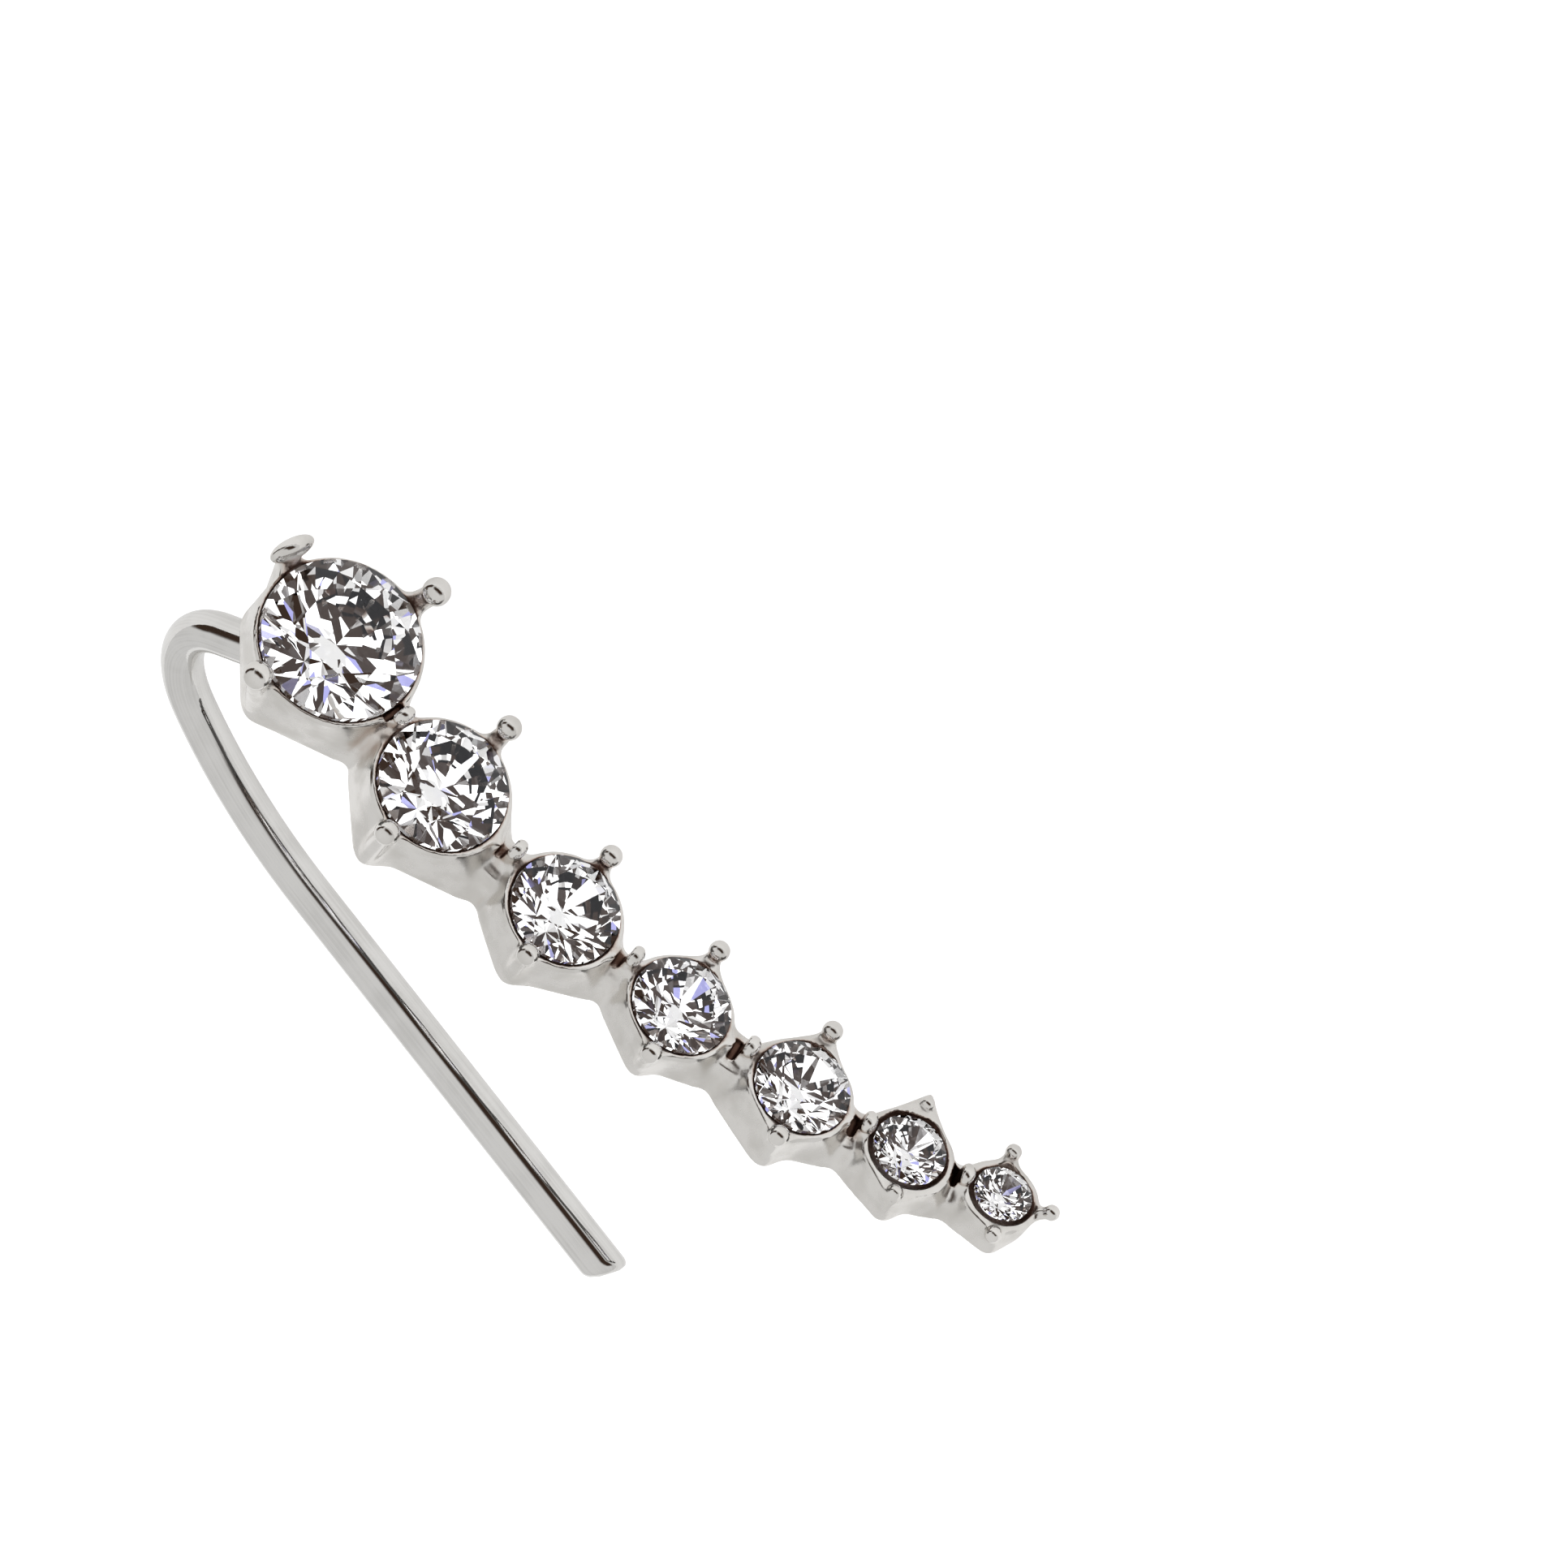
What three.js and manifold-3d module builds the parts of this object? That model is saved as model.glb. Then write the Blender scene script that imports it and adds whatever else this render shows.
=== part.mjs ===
// Ear climber earring: a curved row of seven graduated round stones in prong
// settings, with an ear wire that hooks round behind the row.
//
// Millimetres and degrees. The row is laid out in its own frame: x runs along
// the row from the first stone, y points to the inside of the row's curve and
// z out of the stones' faces. At the end it is laid on the ground, as it rests.

import * as THREE from 'three';
import { mergeVertices } from 'three/addons/utils/BufferGeometryUtils.js';
import { ConvexHull } from 'three/addons/math/ConvexHull.js';
import Module from 'manifold-3d';

const wasm = await Module();
wasm.setup();

// One entry a setting, from the ear wire's end of the row. gap is the metal
// between this stone and the next, and turn is the row's bend at the next one.
// corner is how far its side columns reach at the back, column is their radius,
// and dip sets the walls ahead of them further in; apex is how far the rim is
// drawn out at the same places. webHalf is half the width of the metal to the
// next setting, webStart how far past the stone the walls meet it, and play the
// stone's extra room.
const settings = [
  {
    stone: 4.10, gap: 0.55, turn: 9.8, webHalf: 0.94, webStart: 0.40,
    corner: 2.36, column: 0.46, dip: 0.06, apex: 0.02, tipOut: 0.00, play: 0.00,
  },
  {
    stone: 3.35, gap: 1.12, turn: 6.0, webHalf: 0.93, webStart: 0.93,
    corner: 2.33, column: 0.36, dip: 0.36, apex: 0.06, tipOut: 0.00, play: 0.00,
  },
  {
    stone: 2.82, gap: 0.98, turn: 5.2, webHalf: 0.71, webStart: 0.65,
    corner: 1.94, column: 0.38, dip: 0.16, apex: 0.08, tipOut: -0.10, play: 0.02,
  },
  {
    stone: 2.54, gap: 1.04, turn: 5.8, webHalf: 0.90, webStart: 0.43,
    corner: 1.70, column: 0.34, dip: 0.28, apex: 0.28, tipOut: 0.00, play: 0.00,
  },
  {
    stone: 2.46, gap: 0.89, turn: 5.6, webHalf: 0.93, webStart: 0.46,
    corner: 1.87, column: 0.42, dip: 0.38, apex: 0.40, tipOut: 0.00, play: 0.00,
  },
  {
    stone: 1.88, gap: 0.89, turn: 5.4, webHalf: 0.92, webStart: 0.52,
    corner: 1.63, column: 0.40, dip: 0.36, apex: 0.48, tipOut: 0.00, play: 0.12,
  },
  {
    stone: 1.48, gap: 0.00, turn: 0.0, webHalf: 0.50, webStart: 0.10,
    corner: 1.28, column: 0.54, dip: 0.00, apex: 0.14, tipOut: 0.09, play: 0.13,
  },
];
const rowStart = { webHalf: 0.80, past: 0.04, innerShare: 0.15 };  // its free end
const firstFacing = -9.5;       // the first setting is turned back from the row's line
const twistPerMm = 0.62;        // the faces roll towards the inside of the curve

// Sizes that follow a stone are { base, share }: base + share * its radius.
const sized = (size, radius) => size.base + size.share * radius;

// Brilliant cut, as shares of the stone's radius.
const cut = {
  table: 0.57,
  crown: 0.32,
  girdle: 0.06,
  pavilion: 0.86,
  starReach: 0.763,             // where star, kite and upper girdle facets meet
  lowerReach: 0.23,             // where the lower girdle facets end
  blank: 1.03,                  // corners of the facetted blank, before its girdle is turned
};

// Basket: cornered at both sides at the back, round at the rim.
const basket = {
  depth: { base: 0.055, share: 0.975 },       // from the girdle to the back
  rimReach: { base: 0.15, share: 1 },
  rimBelowGirdle: 0.06,
  apexRise: 0.85,                             // of the rim's inner corner, by its apex
  bore: { base: -0.10, share: 0.88 },
};
const prong = {
  ball: { base: 0.12, share: 0.12 },
  tip: { base: 0.28, share: 1.12 },           // from the stone's axis to the ball
  height: { base: -0.14, share: 0.365 },      // of the ball's middle above the girdle
  neckShare: 0.70,                            // of the ball's radius
  footShare: 0.75,                            // of the column's radius
  footRise: 0.10,
  clawDrop: 0.20,                             // of those outside the row's curve
  lastTurn: -5.0,                             // of the prong that ends the row
  lastOut: 0.06,
  lastFoot: { out: 0.90, down: 0.55 },        // by the stone's radius
};
const blade = { x: -2.45, y: -0.20, z: 0.50, half: [0.26, 0.62, 0.46], neck: 0.28 };
const web = { topShare: 0.66, belowNextGirdle: 0.30, innerShare: 0.90 };

// Ridges between the stones: heights, each one's place in its gap, and half sizes.
const ridge = {
  heights: [0.30, 0.30, 0.34, 0.24, 0.05, 0.00],
  places: [0.62, 0.62, 0.62, 0.64, 0.66, 0.66],
  half: [0.21, 0.30, 0.26],
};
const slot = { width: 0.20, half: 0.30, height: 2.0, depth: 0.75, lapShare: 0.3 };
const seatClearance = 0.06;

// Ear wire, in a plane through the row's z axis. A heading of 0 runs straight back
// from the row and 90 runs along it.
const wire = {
  diameter: 1.06,
  planeTurn: 2,
  start: { out: -0.12, below: 0.24 },         // inside the solder bar
  startHeading: -39,
  runs: [
    { length: 3.31, turn: 0 },
    { length: 4.31, turn: 97 },
    { length: 5.60, turn: 30 },
    { length: 12.02, turn: 0 },
  ],
  tipSlope: 0.45,                             // of its slanting end
  tipSide: [0.90, 0.44],                      // across and up, where it runs furthest
};
const solderBar = { width: 1.4, thickness: 0.46, proud: 0.34, lap: 0.7 };

// Facets round each shape.
const sides = { girdle: 32, basket: 48, post: 10, ball: 10, ballRings: 6, bore: 20, seat: 24, wire: 12 };
const wireStep = 0.6;

const rad = THREE.MathUtils.degToRad;

// ---- Solids ---------------------------------------------------------------

function solid(geometry, matrix = new THREE.Matrix4()) {
  const placed = geometry.clone().applyMatrix4(matrix);
  placed.deleteAttribute('normal');
  placed.deleteAttribute('uv');
  const merged = mergeVertices(placed, 1e-5);
  return new wasm.Manifold(new wasm.Mesh({
    numProp: 3,
    vertProperties: new Float32Array(merged.attributes.position.array),
    triVerts: new Uint32Array(merged.index.array),
  }));
}

const joined = (solids) => solids.reduce((whole, part) => whole.add(part));

function geometryOf(manifold) {
  const { vertProperties, triVerts } = manifold.getMesh();
  const geometry = new THREE.BufferGeometry();
  geometry.setAttribute('position', new THREE.BufferAttribute(vertProperties, 3));
  geometry.setIndex(new THREE.BufferAttribute(triVerts, 1));
  return geometry;
}

// ---- Layout of the row ----------------------------------------------------

// Each seat: its stone's radius, its depth, and its frame in the row, with x
// along the row and z out of the stone's face. The backs are level.
function seatsOfRow() {
  const firstDepth = sized(basket.depth, settings[0].stone / 2);
  const place = new THREE.Vector3();
  let heading = 0;
  let facing = firstFacing;
  let travelled = 0;
  return settings.map((setting, index) => {
    const radius = setting.stone / 2;
    const depth = sized(basket.depth, radius + setting.play / 2);
    place.z = depth - firstDepth;
    const turned = new THREE.Euler(rad(-twistPerMm * travelled), 0, rad(facing), 'ZYX');
    const matrix = new THREE.Matrix4().makeRotationFromEuler(turned).setPosition(place);
    if (index + 1 < settings.length) {
      const stride = radius + setting.gap + settings[index + 1].stone / 2;
      place.x += stride * Math.cos(rad(heading));
      place.y += stride * Math.sin(rad(heading));
      facing = heading + setting.turn / 2;
      heading += setting.turn;
      travelled += stride;
    }
    return { ...setting, index, radius, depth, matrix };
  });
}

// The direction of one seat from another, about a seat's own axis.
function headingIn(seat, from, to) {
  const toSeat = seat.matrix.clone().invert();
  const [start, end] = [from, to].map(({ matrix }) =>
    new THREE.Vector3().setFromMatrixPosition(matrix).applyMatrix4(toSeat));
  return Math.atan2(end.y - start.y, end.x - start.x);
}

// In each seat's frame, the headings of the webs ahead and behind, how far along
// them the basket's walls meet them, and at what half widths.
function addEnds(seats) {
  seats.forEach((seat, index) => {
    const next = seats[index + 1];
    const last = seats[index - 1];
    const ahead = headingIn(seat, next ? seat : last, next ?? seat);
    const behind = headingIn(seat, last ?? seat, last ? seat : next);
    const from = last ?? { ...rowStart, gap: 0, webStart: -rowStart.past };
    seat.ends = [
      {
        turn: ahead,
        along: seat.radius + seat.webStart,
        half: seat.webHalf,
        inner: seat.webHalf * web.innerShare,
      },
      {
        turn: behind,
        along: from.webStart - from.gap - seat.radius,
        half: from.webHalf,
        inner: from.webHalf * (from.innerShare ?? web.innerShare),
      },
    ];
    seat.next = ahead;
    seat.square = (ahead + behind) / 2;
  });
  return seats;
}

// ---- Stones ---------------------------------------------------------------

// Corners at equal angles, counted in sixteenths of a turn from the row's line.
function ring(count, firstSixteenth, reach, height) {
  return Array.from({ length: count }, (_, k) => {
    const angle = rad(firstSixteenth * 22.5 + k * 360 / count);
    return [reach * Math.cos(angle), reach * Math.sin(angle), height];
  });
}

// Rings of corners from the table down to the culet, joined into facets. The
// drum then turns the girdle round.
function brilliant(radius) {
  const kiteHalf = Math.cos(rad(22.5));
  const rim = cut.girdle / 2;
  const starDrop = (cut.starReach * kiteHalf - cut.table) / (cut.blank - cut.table);
  const keelRise = cut.lowerReach * kiteHalf / cut.blank;
  const corners = [
    ...ring(8, 0, cut.table, rim + cut.crown),
    ...ring(8, 1, cut.starReach, rim + cut.crown * (1 - starDrop)),
    ...ring(16, 0, cut.blank, rim),
    ...ring(16, 0, cut.blank, -rim),
    ...ring(8, 1, cut.lowerReach, -rim - cut.pavilion * (1 - keelRise)),
    [0, 0, -rim - cut.pavilion],
  ];
  const table = (k) => k % 8;
  const star = (k) => 8 + k % 8;
  const upper = (k) => 16 + k % 16;
  const lower = (k) => 32 + k % 16;
  const keel = (k) => 48 + k % 8;
  const culet = 56;
  const facets = [];
  for (let k = 1; k < 7; k += 1) {
    facets.push([table(0), table(k), table(k + 1)]);
  }
  for (let k = 0; k < 8; k += 1) {
    facets.push([table(k), star(k), table(k + 1)]);
    facets.push([table(k), upper(2 * k), star(k)]);
    facets.push([table(k + 1), star(k), upper(2 * k + 2)]);
    facets.push([star(k), upper(2 * k), upper(2 * k + 1)]);
    facets.push([star(k), upper(2 * k + 1), upper(2 * k + 2)]);
    facets.push([keel(k), lower(2 * k + 1), lower(2 * k)]);
    facets.push([keel(k), lower(2 * k + 2), lower(2 * k + 1)]);
    facets.push([culet, keel(k), lower(2 * k)]);
    facets.push([culet, lower(2 * k + 2), keel(k)]);
  }
  for (let k = 0; k < 16; k += 1) {
    facets.push([upper(k), lower(k), lower(k + 1)]);
    facets.push([upper(k), lower(k + 1), upper(k + 1)]);
  }
  const blank = new THREE.BufferGeometry();
  blank.setAttribute('position', new THREE.Float32BufferAttribute(corners.flat(), 3));
  blank.setIndex(facets.flat());
  blank.scale(radius, radius, radius);
  const drum = new THREE.CylinderGeometry(radius, radius, 4 * radius, sides.girdle);
  drum.rotateX(Math.PI / 2);
  return solid(blank).intersect(solid(drum));
}

// The room that a stone needs in the metal, with its clearance all round.
function seatRoom({ radius, play }) {
  const rim = cut.girdle / 2 * radius + seatClearance;
  const reach = radius + seatClearance + play;
  const outline = [
    new THREE.Vector2(0, -rim - cut.pavilion * radius),
    new THREE.Vector2(reach, -rim),
    new THREE.Vector2(reach, rim),
    new THREE.Vector2(cut.table * radius + play, rim + cut.crown * radius),
    new THREE.Vector2(0, rim + cut.crown * radius),
  ];
  return new THREE.LatheGeometry(outline, sides.seat).rotateX(Math.PI / 2);
}

// ---- Settings -------------------------------------------------------------

const axis = new THREE.Vector2();
const spot = (turn, along, across = 0) =>
  new THREE.Vector2(along, across).rotateAround(axis, turn);

// The walls of a basket's back, as pairs of points: square ends where the webs
// leave, and walls from those that touch the side columns, or pass inside them.
function backWalls({ ends, square, corner, column, dip }) {
  const walls = [];
  for (const side of [-1, 1]) {
    const foot = spot(square, 0, side * (corner - column));
    ends.forEach(({ turn, along, half, inner }, which) => {
      const end = spot(turn, along, side > 0 ? inner : -half);
      const touching = which ? column : column - dip;
      const away = end.clone().sub(foot);
      const swing = Math.acos(touching / away.length());
      const bearing = away.angle() + (which ? -side : side) * swing;
      walls.push([end, spot(bearing, touching).add(foot)]);
    });
  }
  walls.push([walls[0][0], walls[2][0]], [walls[1][0], walls[3][0]]);
  return walls;
}

// How far the back reaches in one direction: to the nearest wall, or to a column
// if it stands out of them.
function backReach(seat, walls, angle) {
  const out = spot(angle, 1);
  let reach = Infinity;
  for (const [a, b] of walls) {
    const across = new THREE.Vector2(b.y - a.y, a.x - b.x);
    const slope = across.dot(out) / across.dot(a);
    if (slope > 0) {
      reach = Math.min(reach, 1 / slope);
    }
  }
  for (const side of [-1, 1]) {
    const foot = spot(seat.square, 0, side * (seat.corner - seat.column));
    const near = out.dot(foot);
    const inside = near ** 2 - foot.lengthSq() + seat.column ** 2;
    if (near > 0 && inside > 0) {
      reach = Math.max(reach, near + Math.sqrt(inside));
    }
  }
  return reach;
}

// How far the rim reaches, and how high: round but for its side corners, and
// rising at the one inside the row's curve.
function rimPoint({ radius, play, apex }, angle) {
  const rim = sized(basket.rimReach, radius) + play;
  const fromSide = Math.abs(Math.asin(Math.abs(Math.sin(angle))) - Math.PI / 2);
  const reach = rim / Math.cos(Math.max(0, Math.acos(rim / (rim + apex)) - fromSide));
  const rise = Math.max(0, basket.apexRise * Math.sin(angle)) * (reach - rim);
  return [...spot(angle, reach), rise - basket.rimBelowGirdle];
}

// A closed solid between a lower and an upper outline of as many points.
function tower(lower, upper) {
  const count = lower.length;
  const points = [...lower, ...upper, [0, 0, lower[0][2]], [0, 0, upper[0][2]]];
  const faces = [];
  for (let k = 0; k < count; k += 1) {
    const next = (k + 1) % count;
    faces.push(k, next, count + next, k, count + next, count + k);
    faces.push(2 * count, next, k, 2 * count + 1, count + k, count + next);
  }
  const geometry = new THREE.BufferGeometry();
  geometry.setAttribute('position', new THREE.Float32BufferAttribute(points.flat(), 3));
  geometry.setIndex(faces);
  return geometry;
}

function basketBlock(seat) {
  const walls = backWalls(seat);
  const angles = Array.from({ length: sides.basket }, (_, k) => 2 * Math.PI * k / sides.basket);
  const back = angles.map((angle) => [...spot(angle, backReach(seat, walls, angle)), -seat.depth]);
  return tower(back, angles.map((angle) => rimPoint(seat, angle)));
}

// A round post that tapers from one point to another.
function post(foot, tip, footRadius, tipRadius) {
  const along = tip.clone().sub(foot);
  const turn = new THREE.Quaternion().setFromUnitVectors(
    new THREE.Vector3(0, 1, 0), along.clone().normalize());
  return new THREE.CylinderGeometry(tipRadius, footRadius, along.length(), sides.post)
    .applyQuaternion(turn)
    .translate(...foot.clone().addScaledVector(along, 0.5));
}

const ball = (centre, half) => new THREE.SphereGeometry(1, sides.ball, sides.ballRings)
  .scale(...half)
  .translate(...centre);

// The prongs at a basket's side corners: round balls inside the row's curve, and
// lower claws outside it.
function sideProngs({ radius, depth, square, corner, column, tipOut }) {
  const size = sized(prong.ball, radius);
  return [1, -1].flatMap((side) => {
    const foot = spot(square, 0, side * (corner - column));
    const drop = side > 0 ? 0 : prong.clawDrop;
    const tip = new THREE.Vector3(0, side * (sized(prong.tip, radius) + tipOut),
      sized(prong.height, radius) - drop);
    const start = new THREE.Vector3(foot.x, foot.y, prong.footRise - depth);
    return [
      post(start, tip, column * prong.footShare, size * prong.neckShare),
      ball(tip, [size, size, size]),
    ];
  });
}

// The prong that ends the row, which holds the last stone alone.
function lastProng({ radius, tipOut }) {
  const size = sized(prong.ball, radius);
  const reach = sized(prong.tip, radius) + tipOut + prong.lastOut;
  const turn = rad(prong.lastTurn);
  const { out, down } = prong.lastFoot;
  const start = new THREE.Vector3(...spot(turn, out * radius), -down * radius);
  const tip = new THREE.Vector3(...spot(turn, reach), sized(prong.height, radius));
  return [post(start, tip, size, size * prong.neckShare), ball(tip, [size, size, size])];
}

// The broad prong at the row's first end.
function bladeProng({ radius, depth }) {
  const start = new THREE.Vector3(-radius, 0, prong.footRise - depth);
  const tip = new THREE.Vector3(blade.x, blade.y, blade.z);
  return [post(start, tip, blade.neck, blade.neck), ball(tip, blade.half)];
}

const ridgePlace = ({ radius, gap, index }) => radius + ridge.places[index] * gap;

// The metal between this stone and the next: a web, lower than both girdles, and
// a ridge that holds the two stones.
function joinAfter(seat, next) {
  const half = seat.webHalf;
  const inner = half * web.innerShare;
  const top = next.depth - web.belowNextGirdle;
  const section = [
    [-half, 0], [inner, 0], [inner * web.topShare, top], [-half * web.topShare, top],
  ];
  const from = seat.radius / 2;
  const to = seat.radius + seat.gap + next.radius / 2;
  const length = new THREE.ExtrudeGeometry(
    new THREE.Shape(section.map(([y, z]) => new THREE.Vector2(y, z))),
    { depth: to - from, bevelEnabled: false })
    .rotateY(Math.PI / 2)
    .rotateX(Math.PI / 2)
    .translate(from, 0, -seat.depth);
  const place = ridgePlace(seat);
  const start = new THREE.Vector3(place, 0, prong.footRise - seat.depth);
  const tip = new THREE.Vector3(place, 0, ridge.heights[seat.index]);
  const width = ridge.half[0];
  return [length, post(start, tip, width, width), ball(tip, ridge.half)]
    .map((shape) => shape.rotateZ(seat.next));
}

function settingMetal(seat, index, seats) {
  const shapes = [basketBlock(seat), ...sideProngs(seat)];
  if (index === 0) {
    shapes.push(...bladeProng(seat));
  }
  const next = seats[index + 1];
  shapes.push(...(next ? joinAfter(seat, next) : lastProng(seat)));
  return joined(shapes.map((shape) => solid(shape, seat.matrix)));
}

// The stone's room, the round hole through the basket behind it, and the slot
// between its rim and the ridge.
function settingHollow(seat) {
  const bore = sized(basket.bore, seat.radius);
  const hole = new THREE.CylinderGeometry(bore, bore, 2 * seat.depth, sides.bore);
  hole.rotateX(Math.PI / 2).translate(0, 0, -seat.depth);
  const shapes = [hole, seatRoom(seat)];
  if (seat.gap > 0) {
    const high = ridgePlace(seat) - (1 - slot.lapShare) * ridge.half[0];
    const low = ridge.heights[seat.index] - slot.depth;
    const cutter = new THREE.BoxGeometry(slot.width, 2 * slot.half, slot.height)
      .translate(high - slot.width / 2, 0, low + slot.height / 2)
      .rotateZ(seat.next);
    shapes.push(cutter);
  }
  return joined(shapes.map((shape) => solid(shape, seat.matrix)));
}

// ---- Ear wire -------------------------------------------------------------

// Follows the wire's runs, each bending evenly along its length.
class WirePath extends THREE.Curve {
  constructor(start) {
    super();
    this.start = start;
    this.total = wire.runs.reduce((sum, run) => sum + run.length, 0);
  }

  getPoint(t) {
    let out = this.start.x;
    let height = this.start.y;
    let heading = rad(wire.startHeading);
    let left = t * this.total;
    for (const run of wire.runs) {
      const length = Math.min(left, run.length);
      const bend = rad(run.turn) * length / run.length;
      const chord = bend ? length * Math.sin(bend / 2) / (bend / 2) : length;
      out += chord * Math.sin(heading + bend / 2);
      height -= chord * Math.cos(heading + bend / 2);
      heading += bend;
      left -= length;
    }
    const turn = rad(wire.planeTurn);
    return new THREE.Vector3(out * Math.cos(turn), out * Math.sin(turn), height);
  }
}

// The bar across the first basket's back that the wire is soldered to.
function solderBarBox({ radius, depth }) {
  const length = 2 * sized(basket.bore, radius) + solderBar.lap;
  const middle = -depth - solderBar.proud + solderBar.thickness / 2;
  return new THREE.BoxGeometry(length, solderBar.width, solderBar.thickness)
    .translate(0, 0, middle);
}

function earWire(first) {
  const start = new THREE.Vector2(wire.start.out, -first.depth - wire.start.below);
  const path = new WirePath(start);
  const section = new THREE.Shape().absarc(0, 0, wire.diameter / 2, 0, 2 * Math.PI);
  const whole = solid(new THREE.ExtrudeGeometry(section, {
    extrudePath: path,
    steps: Math.round(path.total / wireStep),
    curveSegments: sides.wire / 2,
  }));
  return whole.trimByPlane(...slantedEnd(path));
}

// The plane that the wire's end is cut to: its normal, back into the wire, and
// its distance from the origin.
function slantedEnd(path) {
  const slant = wire.tipSlope * wire.diameter / 2;
  const heading = path.getTangent(1);
  const side = new THREE.Vector3(0, ...wire.tipSide).multiplyScalar(wire.tipSlope);
  const normal = side.sub(heading).normalize();
  const through = path.getPoint(1).addScaledVector(heading, -slant);
  return [normal.toArray(), normal.dot(through)];
}

// ---- Resting attitude -----------------------------------------------------

function centreOfVolume(geometry) {
  const corners = geometry.toNonIndexed().attributes.position;
  const centre = new THREE.Vector3();
  const [a, b, c] = [new THREE.Vector3(), new THREE.Vector3(), new THREE.Vector3()];
  let volume = 0;
  for (let k = 0; k < corners.count; k += 3) {
    a.fromBufferAttribute(corners, k);
    b.fromBufferAttribute(corners, k + 1);
    c.fromBufferAttribute(corners, k + 2);
    const part = a.dot(b.clone().cross(c)) / 6;
    volume += part;
    centre.addScaledVector(a.add(b).add(c), part / 4);
  }
  return centre.divideScalar(volume);
}

// The direction that ends up downwards: the earring rolls over the faces of its
// hull until its centre stands above the face that it lies on.
function restingDown(geometry, firstDown) {
  const corners = geometry.attributes.position;
  const points = Array.from({ length: corners.count },
    (_, k) => new THREE.Vector3().fromBufferAttribute(corners, k));
  const hull = new ConvexHull().setFromPoints(points);
  const centre = centreOfVolume(geometry);
  const down = firstDown.clone();
  const drop = (face) => {
    const slope = face.normal.dot(down);
    return slope > 0 ? -face.distanceToPoint(centre) / slope : Infinity;
  };
  for (let roll = 0; roll < 12; roll += 1) {
    down.copy(hull.faces.reduce((best, face) => (drop(face) < drop(best) ? face : best)).normal);
  }
  return down;
}

// ---- Assembly -------------------------------------------------------------

const silver = new THREE.MeshStandardMaterial({ color: 0xcdcbc5, roughness: 0.2, metalness: 1 });
const crystal = new THREE.MeshStandardMaterial({ color: 0xeceef6, roughness: 0.03, metalness: 0 });

function named(geometry, material, name) {
  const mesh = new THREE.Mesh(geometry, material);
  mesh.name = name;
  return mesh;
}

const seats = addEnds(seatsOfRow());
const first = seats[0];
const row = joined(seats.map(settingMetal)).subtract(joined(seats.map(settingHollow)));
const soldered = solid(solderBarBox(first), first.matrix).add(earWire(first));
const frameShape = geometryOf(row.add(soldered.subtract(solid(seatRoom(first), first.matrix))));

const down = restingDown(frameShape, new THREE.Vector3(0, 1, 0));
const rowEnd = new THREE.Vector3().setFromMatrixPosition(seats.at(-1).matrix);
const along = rowEnd.projectOnPlane(down).normalize();
const up = down.clone().negate();
const laid = new THREE.Matrix4().makeBasis(along, up.clone().cross(along), up).invert();

const lying = new THREE.Group();
lying.setRotationFromMatrix(laid);
lying.add(named(frameShape, silver, 'setting_row_with_ear_wire'));
seats.forEach((seat, index) => {
  const stone = named(geometryOf(brilliant(seat.radius)), crystal.clone(), `stone_${index + 1}`);
  stone.applyMatrix4(seat.matrix);
  lying.add(stone);
});

// The ground is z = 0, with the middle of the earring's box over the origin.
const earring = new THREE.Group();
earring.add(lying);
const box = new THREE.Box3().setFromObject(earring, true);
const middle = box.getCenter(new THREE.Vector3());
lying.position.set(-middle.x, -middle.y, -box.min.z);

export default earring;
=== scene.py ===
import math

import bmesh
import bpy
from mathutils import Matrix, Vector
from mathutils.bvhtree import BVHTree


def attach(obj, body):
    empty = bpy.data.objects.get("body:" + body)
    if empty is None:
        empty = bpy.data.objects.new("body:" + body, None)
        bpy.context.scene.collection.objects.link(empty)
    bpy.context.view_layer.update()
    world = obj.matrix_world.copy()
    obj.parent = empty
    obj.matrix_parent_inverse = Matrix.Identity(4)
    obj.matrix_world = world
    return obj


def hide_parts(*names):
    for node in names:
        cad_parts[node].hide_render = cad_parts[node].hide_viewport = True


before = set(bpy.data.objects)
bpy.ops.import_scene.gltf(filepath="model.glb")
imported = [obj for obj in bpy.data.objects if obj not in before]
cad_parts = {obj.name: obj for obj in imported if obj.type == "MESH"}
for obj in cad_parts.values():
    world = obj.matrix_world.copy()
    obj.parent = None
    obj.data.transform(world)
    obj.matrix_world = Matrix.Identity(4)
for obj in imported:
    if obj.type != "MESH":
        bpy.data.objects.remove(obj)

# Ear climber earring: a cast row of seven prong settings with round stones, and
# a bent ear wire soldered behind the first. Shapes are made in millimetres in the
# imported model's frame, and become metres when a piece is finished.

scene = bpy.context.scene
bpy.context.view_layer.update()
metalNode = "setting_row_with_ear_wire"
stoneNames = sorted(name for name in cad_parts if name.startswith("stone_"))
metresPerMm = 0.001


# Node trees written as sums.

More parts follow.
